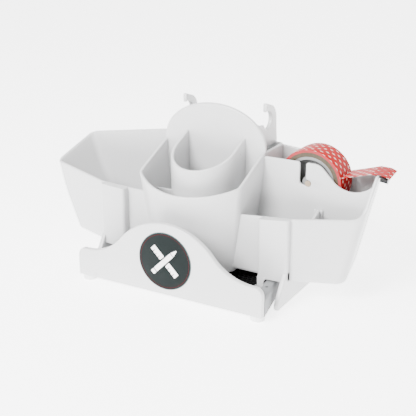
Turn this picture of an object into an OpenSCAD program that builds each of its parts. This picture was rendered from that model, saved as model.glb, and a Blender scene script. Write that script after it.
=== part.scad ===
// Tool storage caddy: a lift-off moulded tray with bins, a two-stage cup, a hooked back
// and a tape dispenser, standing on a low base with a crested front plate.
// Modules are drawn with X across from the badge's centre, Y back from the badge's face
// and Z up from the table. place() moves them over the middle of the footprint.

/* [Base] */
// Half the length of the front plate
plate_half = 89; // [86:1:92]
// Height of the front plate's straight ends above its lower edge
plate_end_h = 25.5; // [20:0.5:28]
// Radius of the crest in the middle of the front plate
crest_r = 58; // [54:1:62]
// Thickness of the front plate
plate_t = 5; // [4:0.5:6]
// Height of the feet under the plates
foot_h = 5; // [4:0.5:6]
// Radius of a foot
foot_r = 6; // [4:0.5:7]
// Radius of the round badge
badge_r = 25; // [20:0.5:26]
// Height of the side rails
rail_h = 15; // [14:0.5:15]
// Width of a side rail
rail_w = 10; // [8:0.5:10]

/* [Tray] */
// Wall thickness of the tray
wall = 2.6; // [2.2:0.1:3]
// Inward turn of the end walls and rails, per unit of depth
toe_in = 0.2; // [0.18:0.01:0.22]
// Backward sweep of the front walls, per unit of width
sweep = 0.35; // [0.3:0.01:0.38]
// Rise of the cups' rims per unit of depth
rim_rise = 0.44; // [0.4:0.01:0.48]
// Clear distance between the pocket divider and the walls around it
play = 0.3; // [0.2:0.1:0.5]

/* [Tape dispenser] */
// Width of the tape
tape_w = 25; // [19:0.5:25]
// Outer radius of the roll
roll_r = 28; // [27:0.5:29]
// Radius of the spindle
spindle_r = 2.55; // [2:0.05:2.6]

/* [Hidden] */

$fn = 96;
big = 400;                   // longer than anything it cuts
left_reach = 163.5;          // how far the left bin stands out
right_reach = 157.5;         // how far the cut end of the tape stands out
depth = 122;                 // from the badge's face to the hooks' back edge

// base
plate_y = 0.5;               // front face of the front plate, behind the badge's
badge_z = 35.7;
badge_sink = 1.5;            // how deep the badge sits in the plate
ring_w = 1.6;
rail_y0 = plate_y + plate_t;
rail_y1 = 100;
rail_x = plate_half - rail_w;          // a rail's inner edge where it meets the front plate
rail_top = foot_h + rail_h;
pan_t = 3;

// tray
floor_z = 20.6;              // underside of the bins
cup_z = 17;                  // underside of the centre cup
front_y = 45;                // bins' front faces, as far out as sweep_x
sweep_x = 94.3;
back_y = 120;                // bins' back faces
join_x = 34;                 // where the bins' walls start, inside the cup
cup_half = 49.3;             // half the width of the centre cup
bow_r = 66;                  // plan radius of the centre cup's front
bow_low = 0.8;               // its outline at the bottom, against that at bow_top and above
bow_top = 98;
bow_corner = 8;
u_x = 1.5;                   // middle of the inner cup
u_half = 29.1;               // and half its width
u_y = 64.6;                  // centre of its round front
dome_y = 82;                 // front face of the domed back
dome_t = 4;
dome_spring = 117;           // height where its arch starts
dome_rise = 34;
rear_rim = 114.5;            // rim of the tray behind the dome
hook_x = 37.5;
hook_t = 4;
leg_x0 = 65.5;               // a leg's inner and outer faces
leg_x1 = 91.5;
leg_y = 37.5;                // and its front face
notch_z = 21;                // the leg's front wall ends here, above the rail
fin_t = 4;

// end walls: each is a plane through a point, leaning out per unit of height
left_ends = [[133, 57, floor_z, 0.67], [163, 68.4, 80, 0.36]];
right_ends = [[134, 57, floor_z, 0.23]];
// rims, as height against width or against depth
left_front_rim = [[60, 75.5], [160, 80]];
left_end_rim = [[68, 80], [116, 96]];
left_back_rim = [[50, 113], [73, 111], [158, 97.5]];
right_front_rim = [[50, 71], [sweep_x, 75], [136, 77.5], [147, 80]];
right_end_rim = [[62, 80], [80, 110], [82.5, 110], [83, 107.9], [116, 107.9]];
right_back_rim = [[50, 113], [73, 111], [90, 110.4], [100, 102], [110, 99], [124, 99], [133, 102],
    [138, 107.9], [150, 107.9]];

// tape dispenser
mid_y = 80;                  // front face of the wall in front of the roll
roll_x = 89.5;
roll_z = 94.3;
slot_x = 84.65;              // middle of the J-shaped slot's upright
slot_half = spindle_r + 0.1;
tape_y = 83.5;               // front face of the roll
core_r = 25.5;
core_in = 22;
hub_in = 19.5;
bar_x = 150;                 // outer face of the end wall's rim beside the roll's front
divider_x = 100.6;           // middle of the divider's head, which stands against the wall
divider_t = 2.4;
flange_half = 4;
flange_t = 1.8;
divider_top = 74;

module place() translate([(left_reach - right_reach) / 2, -depth / 2, 0]) children();
// A shape drawn in Y and Z, w thick from x on
module along_x(x, w) translate([x, 0, 0]) rotate([90, 0, 90]) linear_extrude(w) children();
// A shape drawn in X and Z, w thick from y back
module along_y(y, w) translate([0, y + w, 0]) rotate([90, 0, 0]) linear_extrude(w) children();
module along_z(z0, z1) translate([0, 0, z0]) linear_extrude(z1 - z0) children();
// A disc or rod along Y
module rod(r, x, z, y, w) translate([x, y, z]) rotate([-90, 0, 0]) cylinder(r = r, h = w);
module left() mirror([1, 0, 0]) children();
module both() { children(); left() children(); }
// Everything above a rim's points, from lo to hi
module above(rim, lo, hi) polygon(concat([[lo, rim[0].y]], rim,
    [[hi, rim[len(rim) - 1].y], [hi, big], [lo, big]]));
function arc(c, r, a0, a1, n) = [for (i = [0 : n])
    c + r * [cos(a0 + (a1 - a0) * i / n), sin(a0 + (a1 - a0) * i / n)]];

/* ---- base ---- */
module crest_outline() {
    crest_z = 5;                                 // centre of the crest's circle
    valley_r = 46;                               // hollow between the crest and an end
    corner_r = 7;
    drop = plate_end_h - crest_z;
    valley_x = sqrt(pow(crest_r + valley_r, 2) - pow(drop + valley_r, 2));
    touch = [valley_x, drop + valley_r] * crest_r / (crest_r + valley_r);
    intersection() {
        translate([0, crest_z]) circle(r = crest_r);
        translate([-touch.x, 0]) square([2 * touch.x, big]);
    }
    difference() {
        translate([-valley_x, 0]) square([2 * valley_x, touch.y + crest_z]);
        for (s = [-1, 1]) translate([s * valley_x, plate_end_h + valley_r]) circle(r = valley_r);
    }
    end = plate_half - corner_r;
    translate([-end, 0]) square([2 * end, plate_end_h]);
    translate([-plate_half, 0]) square([2 * plate_half, plate_end_h - corner_r]);
    for (s = [-1, 1]) translate([s * end, plate_end_h - corner_r]) circle(r = corner_r);
}
module front_plate() place() color("white") difference() {
    translate([0, 0, foot_h]) along_y(plate_y, plate_t) crest_outline();
    rod(badge_r, 0, badge_z, plate_y - 1, badge_sink + 1);
}
module badge_disc() place() color("dimgray") rod(badge_r - ring_w, 0, badge_z, 0, plate_y + badge_sink);
module badge_ring() place() color("darkred") difference() {
    rod(badge_r, 0, badge_z, 0, plate_y + badge_sink);
    rod(badge_r - ring_w, 0, badge_z, -1, badge_sink + 3);
}
module back_plate() place() color("white") {
    half = plate_half - toe_in * (rail_y1 - rail_y0);
    along_y(rail_y1, 4) translate([-half, foot_h]) square([2 * half, rail_h]);
}
module rail_outline(round_r) {
    w = rail_w * cos(atan(toe_in));
    translate([0, foot_h]) square([w, rail_h - round_r]);
    translate([round_r, foot_h]) square([w - 2 * round_r, rail_h]);
    for (x = [round_r, w - round_r]) translate([x, rail_top - round_r]) circle(r = round_r);
}
module rail() color("lightgray") difference() {
    intersection() {
        translate([-big, rail_y0, 0]) cube([2 * big, rail_y1 - rail_y0, big]);
        translate([rail_x, rail_y0, 0]) rotate([0, 0, atan(toe_in)])
            along_y(-rail_w, 2 * rail_y1) rail_outline(3);
    }
    screw_spots() cylinder(r = 1.3, h = 4);
}
module screw_spots() for (y = [14, 28])
    translate([rail_x + rail_w / 2 - toe_in * (y - rail_y0), y, rail_top - 3]) children();
module left_rail() place() left() rail();
module right_rail() place() rail();
module rail_screws() place() color("dimgray") both() screw_spots() cylinder(r = 1.3, h = 2.7);
module base_floor() place() color("gainsboro") {
    inner_back = rail_x - toe_in * (rail_y1 - rail_y0);
    along_z(foot_h, foot_h + pan_t) polygon([[-rail_x, rail_y0], [rail_x, rail_y0],
        [inner_back, rail_y1], [-inner_back, rail_y1]]);
}
module ribbed_mat() place() color("black") {
    half = 58;
    y0 = 12;
    y1 = 96;
    pitch = 4;
    sheet = 1.4;
    translate([-half, y0, foot_h + pan_t]) cube([2 * half, y1 - y0, sheet]);
    for (y = [y0 : pitch : y1 - pitch])
        translate([-half, y, foot_h + pan_t + sheet / 2]) cube([2 * half, pitch / 2, sheet]);
}
module feet() place() color("whitesmoke") both() {
    translate([82, 7.5, 0]) cylinder(r = foot_r, h = foot_h);
    translate([66, 97, 0]) cylinder(r = foot_r, h = foot_h);
}

/* ---- bins ---- */
// Everything outside the end plane p, moved g inwards
module beyond(p, g) {
    turn = atan(toe_in);
    lean = p[3];
    shift = g * sqrt(1 + lean * lean + toe_in * toe_in);
    translate([p[0] - shift, p[1], p[2]]) rotate([0, atan(lean * cos(turn)), turn])
        translate([0, -big, -big]) cube([big, 2 * big, 2 * big]);
}
// A bin's outer block, or its hollow when g is the wall thickness. It runs in as far as
// join_x, and beside_core() then takes away what the cup and the pocket fill
module bin_block(g, z0, ends) difference() {
    slant = g * sqrt(1 + sweep * sweep);
    x0 = join_x - g;
    along_z(z0, 130) polygon([[x0, front_y + g], [sweep_x - (slant - g) / sweep, front_y + g],
        [big, front_y + slant + sweep * (big - sweep_x)], [big, back_y - g], [x0, back_y - g]]);
    for (p = ends) beyond(p, g);
}
module beside_core() difference() {
    children();
    cup_block(0, cup_z);
    translate([-cup_half, dome_y, 0]) cube([2 * cup_half, big, big]);
}
module bin_shell(ends, front_rim, end_rim, back_rim) {
    beside_core() difference() {
        bin_block(0, floor_z, ends);
        bin_block(wall, floor_z + wall, ends);
        along_y(0, end_rim[0].x) above(front_rim, 0, big);
        along_x(0, big) above(end_rim, 0, back_y - wall);
        along_y(back_y - wall - 0.01, 5) above(back_rim, 0, big);
    }
    // pads that rest on the rail
    for (y = [48, 78]) translate([rail_x - 1 - toe_in * y, y, rail_top])
        cube([rail_w - 2, 16, floor_z - rail_top]);
}
module left_bin() place() color("white") left()
    bin_shell(left_ends, left_front_rim, left_end_rim, left_back_rim);
module right_bin() place() color("white") difference() {
    bin_shell(right_ends, right_front_rim, right_end_rim, right_back_rim);
    along_y(back_y - wall - 1, wall + 2) j_slot();
}
// Upright of the slot, then its hooked foot where the spindle rests
module j_slot() {
    bend = [slot_x, roll_z + 1.4];
    seat = [roll_x, roll_z];
    fall = atan2(seat.y - bend.y, seat.x - bend.x);
    run = slot_half * (1 - sin(-fall)) / cos(fall);
    inner = bend + slot_half * [-sin(fall), cos(fall)] + run * [cos(fall), sin(fall)];
    polygon(concat([[bend.x - slot_half, big]], arc(bend, slot_half, 180, 270 + fall, 6),
        arc(seat, slot_half, fall - 90, fall + 90, 16), [inner, [inner.x, big]]));
}
module tape_wall() place() color("white") {
    top = concat([[join_x, 112]], arc([94, 99], 12, 90, 52, 6), arc([127.5, 117.1], 24, 232, 340, 14));
    beside_core() difference() {
        intersection() {
            bin_block(wall, floor_z + wall, right_ends);
            translate([join_x, mid_y, 0]) cube([big, wall, big]);
        }
        along_y(mid_y - 1, wall + 2) { above(top, 0, big); j_slot(); }
    }
}
// The bin's inner front face at x, less the play
function front(x) = front_y + wall * sqrt(1 + sweep * sweep) + sweep * (x - sweep_x) + play;
module pocket_divider() place() color("white") {
    z0 = floor_z + wall;
    y1 = mid_y - play;
    half = divider_t / 2;
    x0 = divider_x + toe_in * (y1 - front(divider_x)) / (1 + sweep * toe_in);
    along_z(z0, divider_top) polygon([[divider_x - half, y1], [x0 - half, front(x0 - half)],
        [x0 + half, front(x0 + half)], [divider_x + half, y1]]);
    translate([divider_x - flange_half, y1 - flange_t, z0])
        cube([2 * flange_half, flange_t, divider_top - z0]);
}

/* ---- cups and back ---- */
// Bowed outline of the centre cup in plan, moved g inwards
module bow(g) {
    half = cup_half - g;
    r = bow_r - g;
    c = bow_corner - g;
    cx = half - c;
    cy = dome_y - sqrt((r - c) * (r - c) - cx * cx);
    intersection() {
        translate([0, dome_y]) circle(r = r);
        polygon([[0, dome_y], [-2 * cx, 2 * cy - dome_y], [2 * cx, 2 * cy - dome_y]]);
    }
    for (s = [-1, 1]) translate([s * cx, cy]) circle(r = c);
    translate([-half, cy]) square([2 * half, dome_y - cy]);
}
// U outline of the inner cup in plan
module u_plan(r) intersection() {
    union() {
        translate([u_x, u_y]) circle(r = r);
        translate([u_x - r, u_y]) square([2 * r, dome_y - u_y]);
    }
    translate([-big, dome_y - big]) square([2 * big, big]);
}
// Everything above a rim that rises from z0 at the badge's face
module above_rim(z0) translate([0, 0, z0]) rotate([atan(rim_rise), 0, 0])
    translate([-big, -big, 0]) cube([2 * big, 2 * big, big]);
// The cup's outer block, or its hollow: narrower downwards, upright above bow_top
module cup_block(g, z0) {
    low = bow_low + (1 - bow_low) * (z0 - cup_z) / (bow_top - cup_z);
    translate([0, dome_y, z0]) linear_extrude(bow_top - z0, scale = 1 / low)
        scale(low) translate([0, -dome_y]) bow(g);
    along_z(bow_top, 130) bow(g);
}
module centre_cup() place() color("white") difference() {
    cup_block(0, cup_z);
    cup_block(wall, cup_z + wall);
    above_rim(78.9);
}
module inner_cup() place() color("white") {
    pit = 55;                           // lowest point of the scooped floor
    scoop_r = 57;
    scoop_y = 38;
    difference() {
        along_z(cup_z + wall, 140) u_plan(u_half);
        along_z(0, pit - 6) u_plan(u_half - wall);
        intersection() {
            along_z(0, 141) u_plan(u_half - wall);
            along_x(-big, 2 * big) polygon(concat([[0, pit]],
                arc([scoop_y, pit + scoop_r], scoop_r, -90, -35, 11), [[90, big], [0, big]]));
        }
        above_rim(88.7);
    }
}
module cup_web() place() color("white") difference() {
    along_y(59, 1.8) polygon([[-37, cup_z + wall], [-44, 75.6], [-20, 75.6], [-20, cup_z + wall]]);
    along_z(0, 140) u_plan(u_half);
}
module dome_back() place() color("white") along_y(dome_y, dome_t) {
    translate([-cup_half, cup_z]) square([2 * cup_half, dome_spring - cup_z]);
    polygon([for (a = [0 : 5 : 180]) [cup_half * cos(a), dome_spring + dome_rise * sin(a)]]);
}
module rear_pocket() place() color("white") difference() {
    y0 = dome_y + dome_t;
    translate([-cup_half, y0, floor_z]) cube([2 * cup_half, back_y - y0, rear_rim - floor_z]);
    translate([wall - cup_half, y0 - 1, floor_z + wall])
        cube([2 * (cup_half - wall), back_y - wall - y0 + 1, big]);
}
// Cheek that carries a forward-curling hook behind the domed back
module hook() color("white") along_x(hook_x, hook_t) difference() {
    y0 = dome_y + dome_t;
    bowl = [102.5, 137];                // round of the hook
    polygon(concat([[y0, rear_rim], [back_y, rear_rim], [back_y, 103], [121.5, 107], [depth, 115],
        [120.2, 125]], arc([105.5, 135.5], 14.2, 0, 62, 8), [[101.2, 151.6], [99.6, 149.6]],
        [[99.6, bowl.y], [94, 133], [y0, 137]]));
    translate(bowl) circle(r = 7.7);
}
module left_hook() place() left() hook();
module right_hook() place() hook();

/* ---- legs ---- */
module leg(front_rim) color("white") {
    back = leg_y + 2;                   // the front face runs back a little outwards
    difference() {
        along_z(notch_z, 90)
            polygon([[leg_x0, leg_y], [leg_x1, back], [leg_x1, front_y], [leg_x0, front_y]]);
        along_z(0, 70) polygon([[leg_x0 + wall, leg_y + wall + 0.2], [leg_x1 - fin_t, back + wall],
            [leg_x1 - fin_t, 60], [leg_x0 + wall, 60]]);
        along_y(0, 60) above(front_rim, 0, big);
    }
    toe = [27.5, 4.8];                  // round front end of the fin, and its radius
    toe_r = 3;
    foot_z = toe.y - toe_r;
    along_x(leg_x1 - fin_t, fin_t) {
        polygon([[back, 24], [toe.x - toe_r, toe.y + 1.6], [toe.x - toe_r, toe.y], [toe.x, foot_z],
            [94, foot_z], [103, floor_z], [front_y, floor_z], [front_y, 24]]);
        translate(toe) circle(r = toe_r);
    }
    // inner return, which stops clear of the base's floor
    stub_z = foot_h + pan_t + 0.5;
    translate([leg_x0, leg_y + 1, stub_z]) cube([wall, 16, floor_z - stub_z]);
    translate([leg_x0, leg_y + 0.4, stub_z]) cube([6.2, wall, notch_z - stub_z]);
}
module left_leg() place() left() leg(left_front_rim);
module right_leg() place() leg(right_front_rim);

/* ---- tape dispenser ---- */
module cutter_frame() translate([bar_x, mid_y, 0]) rotate([0, 0, atan(toe_in)]) children();
module cutter_bar() place() color("black") cutter_frame() {
    along_y(3.6, 28) polygon([[-3.2, 107.9], [-3.2, 109], [2, 109], [2, 107.9]]);
    along_y(-1, 32.6) polygon([[0.8, 106.2], [0.8, 109], [2, 109], [6.6, 107], [6.6, 105]]);
}
module cutter_blade() place() color("silver") cutter_frame() {
    pitch = 1.6;
    along_x(6.6, 0.5) polygon(concat([[31, 103.8], [0, 103.8]],
        [for (i = [0 : 18]) each [[i * pitch, 106.2], [(i + 0.5) * pitch, 107.2]]], [[31, 106.2]]));
}
module tape_strip() place() color("crimson") difference() {
    t = 0.4;
    route = [[117.6, 102.4], [138.4, 108.5], [141, 109.4], [151.8, 109.5], [157.9, 107.5]];
    last = len(route) - 1;
    along_y(tape_y, tape_w) polygon(concat(route, [for (i = [last : -1 : 0]) route[i] + [0, t]]));
    translate([right_reach, tape_y, 0]) rotate([0, 0, 5]) translate([0, -10, 0]) cube([20, 60, big]);
}
module ring(r_out, r_in, y, w) difference() {
    rod(r_out, roll_x, roll_z, y, w);
    rod(r_in, roll_x, roll_z, y - 1, w + 2);
}
module tape_winding() place() color("crimson") ring(roll_r, core_r, tape_y, tape_w);
module tape_core() place() color("peru") ring(core_r, core_in, tape_y, tape_w);
module tape_hub() place() color("gainsboro") {
    ring(core_in, hub_in, tape_y + 0.5, tape_w - 1);
    ring(hub_in, 6, tape_y + 11, 3);
    ring(6, spindle_r, tape_y - 0.3, back_y - wall - tape_y - 0.3);
}
module tape_spindle() place() color("tan")
    rod(spindle_r, roll_x, roll_z, mid_y + 0.3, back_y - mid_y - 0.6);

front_plate();
back_plate();
left_rail();
right_rail();
base_floor();
ribbed_mat();
feet();
rail_screws();
badge_disc();
badge_ring();
left_bin();
right_bin();
tape_wall();
centre_cup();
inner_cup();
cup_web();
dome_back();
rear_pocket();
left_leg();
right_leg();
left_hook();
right_hook();
cutter_bar();
cutter_blade();
tape_strip();
pocket_divider();
tape_winding();
tape_core();
tape_hub();
tape_spindle();
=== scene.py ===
import math

import bmesh
import bpy
import numpy as np
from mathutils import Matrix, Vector


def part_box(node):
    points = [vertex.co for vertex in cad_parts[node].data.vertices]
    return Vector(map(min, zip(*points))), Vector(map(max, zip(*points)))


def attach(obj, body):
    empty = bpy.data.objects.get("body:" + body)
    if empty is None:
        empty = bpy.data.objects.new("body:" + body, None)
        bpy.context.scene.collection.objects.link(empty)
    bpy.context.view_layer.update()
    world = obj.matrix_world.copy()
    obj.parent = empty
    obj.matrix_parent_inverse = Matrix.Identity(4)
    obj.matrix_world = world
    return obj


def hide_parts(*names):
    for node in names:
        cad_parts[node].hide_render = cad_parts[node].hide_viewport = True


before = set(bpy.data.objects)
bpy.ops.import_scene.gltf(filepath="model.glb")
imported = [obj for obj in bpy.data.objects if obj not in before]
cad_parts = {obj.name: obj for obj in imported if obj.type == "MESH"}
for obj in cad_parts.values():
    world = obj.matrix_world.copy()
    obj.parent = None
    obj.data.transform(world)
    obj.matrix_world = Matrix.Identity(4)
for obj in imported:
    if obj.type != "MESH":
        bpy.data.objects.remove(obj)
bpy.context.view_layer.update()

mm = 0.001
badgeLow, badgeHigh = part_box("badge_disc")
originX = (badgeLow[0] + badgeHigh[0]) / 2   # pieces are drawn in millimetres from the badge's
originY = badgeLow[1]                        # front face, X across, Y back, Z up from the table
tau = 2 * math.pi


def collection(name):
    made = bpy.data.collections.new(name)
    bpy.context.scene.collection.children.link(made)
    return made


pieceGroup = collection("pieces")
stageGroup = collection("stage")

cameraSetup = {"azimuth": 29.71, "elevation": 19.85, "distance": 700, "lens": 77.9,
               "aim": (40.3, 1.1, 89.1)}


def towards(azimuth, elevation):
    # unit vector from the object out to a viewer at that azimuth and elevation, in degrees
    a, e = math.radians(azimuth), math.radians(elevation)
    return np.array([math.sin(a) * math.cos(e), -math.cos(a) * math.cos(e), math.sin(e)])


def placed(points):
    # millimetres from the badge to metres in the frame
    return np.asarray(points, float) * mm + np.array([originX, originY, 0.0])


def lookAt(item, place, aim):
    item.location = Vector(place)
    item.rotation_euler = (Vector(aim) - Vector(place)).to_track_quat("-Z", "Y").to_euler()


def makeCamera(c):
    data = bpy.data.cameras.new("camera")
    data.lens = c["lens"]
    data.sensor_width = 36
    item = bpy.data.objects.new("camera", data)
    stageGroup.objects.link(item)
    aim = placed(c["aim"])
    lookAt(item, aim + towards(c["azimuth"], c["elevation"]) * c["distance"] * mm, aim)
    data.clip_end = 20
    bpy.context.scene.camera = item


makeCamera(cameraSetup)

# each light: azimuth and elevation in degrees, distance and size in metres, power in watts
lightSetup = {
    "key": {"from": (-12, 34), "distance": 1.5, "size": 0.7, "power": 62},
    "fill": {"from": (75, 25), "distance": 1.8, "size": 1.2, "power": 3},
    "top": {"from": (-30, 80), "distance": 1.5, "size": 0.9, "power": 14},
}
worldGlow = 1.5


def makeLights(setup):
    aim = placed((0, 60, 60))   # the middle of the caddy
    for name, l in setup.items():
        data = bpy.data.lights.new(name, "AREA")
        data.shape = "DISK"
        data.size = l["size"]
        data.energy = l["power"]
        item = bpy.data.objects.new(name, data)
        stageGroup.objects.link(item)
        lookAt(item, aim + towards(*l["from"]) * l["distance"], aim)
    world = bpy.data.worlds.new("world")
    bpy.context.scene.world = world
    world.use_nodes = True
    glow = world.node_tree.nodes["Background"]
    glow.inputs["Color"].default_value = (1, 1, 1, 1)
    glow.inputs["Strength"].default_value = worldGlow


makeLights(lightSetup)
print("camera and lights ready")


class Recipe:
    # one node material: shader sockets set directly, patterns added through small helpers
    def __init__(self, name, colour, roughness, **sockets):
        self.material = bpy.data.materials.new(name)
        self.material.use_nodes = True
        self.tree = self.material.node_tree
        self.shader = self.tree.nodes["Principled BSDF"]
        self.set("Base Color", (*colour, 1))
        self.set("Roughness", roughness)
        for key, value in sockets.items():
            self.set(key.replace("_", " "), value)

    def set(self, socket, value):
        self.shader.inputs[socket].default_value = value

    def node(self, kind, **values):
        made = self.tree.nodes.new(kind)
        for key, value in values.items():
            if key in made.inputs:
                made.inputs[key].default_value = value
            else:
                setattr(made, key, value)
        return made

    def link(self, source, target):
        self.tree.links.new(source, target)

    def coords(self, kind="Object"):
        return self.node("ShaderNodeTexCoord").outputs[kind]

    def noise(self, scale, detail=2.0, roughness=0.5, coords=None):
        n = self.node("ShaderNodeTexNoise", Scale=scale, Detail=detail, Roughness=roughness)
        self.link(coords or self.coords(), n.inputs["Vector"])
        return n.outputs["Fac"]

    def ramp(self, source, low, high, colours):
        r = self.node("ShaderNodeValToRGB")
        r.color_ramp.elements[0].position = low
        r.color_ramp.elements[1].position = high
        for element, colour in zip(r.color_ramp.elements, colours):
            element.color = (*colour, 1)
        self.link(source, r.inputs["Fac"])
        return r.outputs["Color"]

    def math(self, operation, a, b=None):
        n = self.node("ShaderNodeMath", operation=operation)
        for socket, value in zip(n.inputs, (a, b)):
            if isinstance(value, (int, float)):
                socket.default_value = value
            elif value is not None:
                self.link(value, socket)
        return n.outputs[0]

    def mix(self, factor, a, b):
        n = self.node("ShaderNodeMix", data_type="RGBA")
        for socket, value in ((n.inputs[0], factor), (n.inputs[6], a), (n.inputs[7], b)):
            if hasattr(value, "is_linked"):
                self.link(value, socket)
            else:
                socket.default_value = value if isinstance(value, (int, float)) else (*value, 1)
        return n.outputs[2]

    def colour(self, source):
        self.link(source, self.shader.inputs["Base Color"])

    def roughen(self, source, low, high):
        r = self.node("ShaderNodeMapRange")
        r.inputs["To Min"].default_value = low
        r.inputs["To Max"].default_value = high
        self.link(source, r.inputs["Value"])
        self.link(r.outputs["Result"], self.shader.inputs["Roughness"])

    def bump(self, source, depth):
        b = self.node("ShaderNodeBump", Strength=1.0, Distance=depth)
        self.link(source, b.inputs["Height"])
        self.link(b.outputs["Normal"], self.shader.inputs["Normal"])


def mouldedPlastic(name, base, shade, rough, grain, depth, gloss):
    # moulded plastic: a fine spark-eroded grain, faint flow shading and uneven gloss
    m = Recipe(name, base, rough)
    flow = m.noise(14, 3)
    m.colour(m.ramp(flow, 0.3, 0.72, (shade, base)))
    m.roughen(m.noise(55, 4), rough - 0.07, rough + 0.09)
    m.bump(m.noise(grain, 3, 0.6), depth)
    m.set("Specular IOR Level", gloss)
    return m.material


# name: base colour, shaded colour, roughness, grain scale, grain depth in metres, gloss
plastics = {
    "white moulding": ((0.54, 0.54, 0.542), (0.522, 0.524, 0.527), 0.3, 1800, 0.000012, 0.5),
    "frosted rail": ((0.19, 0.195, 0.2), (0.16, 0.165, 0.17), 0.55, 1400, 0.00004, 0.5),
    "base pan": ((0.62, 0.62, 0.63), (0.56, 0.56, 0.57), 0.5, 1200, 0.00003, 0.5),
    "black plastic": ((0.006, 0.006, 0.007), (0.012, 0.012, 0.013), 0.45, 1500, 0.00002, 0.2),
    "hub plastic": ((0.2, 0.2, 0.2), (0.17, 0.17, 0.17), 0.42, 1300, 0.00002, 0.5),
    "spindle plastic": ((0.34, 0.26, 0.18), (0.29, 0.22, 0.15), 0.45, 1300, 0.00002, 0.5),
    "foot rubber": ((0.8, 0.8, 0.8), (0.72, 0.72, 0.72), 0.6, 900, 0.00004, 0.5),
    "mat rubber": ((0.008, 0.008, 0.009), (0.014, 0.014, 0.014), 0.65, 900, 0.00005, 0.15),
    "badge charcoal": ((0.007, 0.0095, 0.0095), (0.009, 0.012, 0.012), 0.6, 1600, 0.00002, 0.05),
    "badge edge": ((0.04, 0.062, 0.062), (0.035, 0.055, 0.055), 0.5, 1600, 0.00002, 0.05),
    "badge red": ((0.07, 0.003, 0.006), (0.06, 0.002, 0.005), 0.5, 1600, 0.00002, 0.05),
    "badge ink": ((0.86, 0.86, 0.85), (0.8, 0.8, 0.8), 0.4, 1600, 0.00001, 0.5),
}
finish = {name: mouldedPlastic(name, *values) for name, values in plastics.items()}
whitePlastic = finish["white moulding"]


def steel(name, colour, rough):
    # brushed steel: fine scratches stretched along X
    m = Recipe(name, colour, rough, Metallic=1.0)
    stretch = m.node("ShaderNodeMapping")
    stretch.inputs["Scale"].default_value = (60, 2500, 2500)
    m.link(m.coords(), stretch.inputs["Vector"])
    scratches = m.noise(1, 3, 0.6, stretch.outputs[0])
    m.roughen(scratches, rough - 0.1, rough + 0.15)
    m.bump(scratches, 0.00001)
    return m.material


bladeSteel = steel("blade steel", (0.5, 0.5, 0.51), 0.34)
screwSteel = steel("screw steel", (0.1, 0.1, 0.105), 0.4)


def diamondTape(name, overBar=None):
    # printed paper tape: pale diamonds on crimson. The UV map runs along the tape in X and
    # across it in Y, one unit to a diamond. Distance from a diamond's middle is |x| / 2 + |y|,
    # taken from the nearer of two staggered lattices. Where the tape lies on the black bar,
    # the bar shows through the pale diamonds.
    m = Recipe(name, (0.34, 0.0, 0.002), 0.5)
    m.set("Specular IOR Level", 0.04)
    uv = m.node("ShaderNodeSeparateXYZ")
    m.link(m.coords("UV"), uv.inputs[0])

    def fromLattice(shift):
        x = m.math("PINGPONG", m.math("ADD", uv.outputs["X"], shift), 0.5)
        y = m.math("PINGPONG", m.math("ADD", uv.outputs["Y"], shift), 0.5)
        return m.math("ADD", m.math("MULTIPLY", x, 0.5), y)

    near = m.math("MINIMUM", fromLattice(0.0), fromLattice(0.5))
    fibres = m.noise(900, 3, 0.6)
    ragged = m.math("ADD", near, m.math("MULTIPLY", m.math("SUBTRACT", fibres, 0.5), 0.08))
    crimson = m.ramp(m.noise(160, 3), 0.3, 0.7, ((0.3, 0.0, 0.0), (0.36, 0.0, 0.003)))
    cream = (0.62, 0.5, 0.44)
    if overBar:
        place = m.node("ShaderNodeSeparateXYZ")
        m.link(m.coords(), place.inputs[0])
        inward = m.math("GREATER_THAN", place.outputs["X"], overBar[0])
        outward = m.math("LESS_THAN", place.outputs["X"], overBar[1])
        cream = m.mix(m.math("MULTIPLY", inward, outward), cream, (0.16, 0.13, 0.12))
    m.colour(m.mix(m.ramp(ragged, 0.105, 0.13, ((0, 0, 0), (1, 1, 1))), cream, crimson))
    m.roughen(fibres, 0.34, 0.5)
    m.bump(fibres, 0.00003)
    return m.material


roll = {"x": 89.5, "z": 94.3, "radius": 28.0, "coreOuter": 25.5, "front": 83.5, "width": 25.0,
        "diamondLong": 8.0, "diamondWide": 8.4}


def layeredSide(name, dark, light, pitch):
    # the edge of wound tape or card: fine rings at that pitch round the roll's axis
    m = Recipe(name, light, 0.62)
    place = m.node("ShaderNodeVectorMath", operation="SUBTRACT")
    m.link(m.coords(), place.inputs[0])
    place.inputs[1].default_value = tuple(placed((roll["x"], 0, roll["z"])))
    flat = m.node("ShaderNodeVectorMath", operation="MULTIPLY")
    m.link(place.outputs[0], flat.inputs[0])
    flat.inputs[1].default_value = (1, 0, 1)
    radius = m.node("ShaderNodeVectorMath", operation="LENGTH")
    m.link(flat.outputs[0], radius.inputs[0])
    wobble = m.math("MULTIPLY", m.math("SUBTRACT", m.noise(90, 2), 0.5), 0.0006)
    uneven = m.math("ADD", radius.outputs["Value"], wobble)
    rings = m.math("SINE", m.math("MULTIPLY", uneven, tau / (pitch * mm)))
    shade = m.math("ADD", m.math("MULTIPLY", rings, 0.3), m.noise(500, 3))
    m.colour(m.ramp(shade, 0.2, 0.85, (dark, light)))
    m.bump(shade, 0.00006)
    return m.material


tapeSide = layeredSide("tape side", (0.24, 0.004, 0.008), (0.3, 0.012, 0.018), 0.45)
kraftCard = layeredSide("kraft card", (0.03, 0.02, 0.008), (0.06, 0.042, 0.018), 0.7)
tapePrint = diamondTape("printed tape")
print("materials ready")


def unit(v):
    return v / np.maximum(np.linalg.norm(v, axis=-1, keepdims=True), 1e-9)


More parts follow.
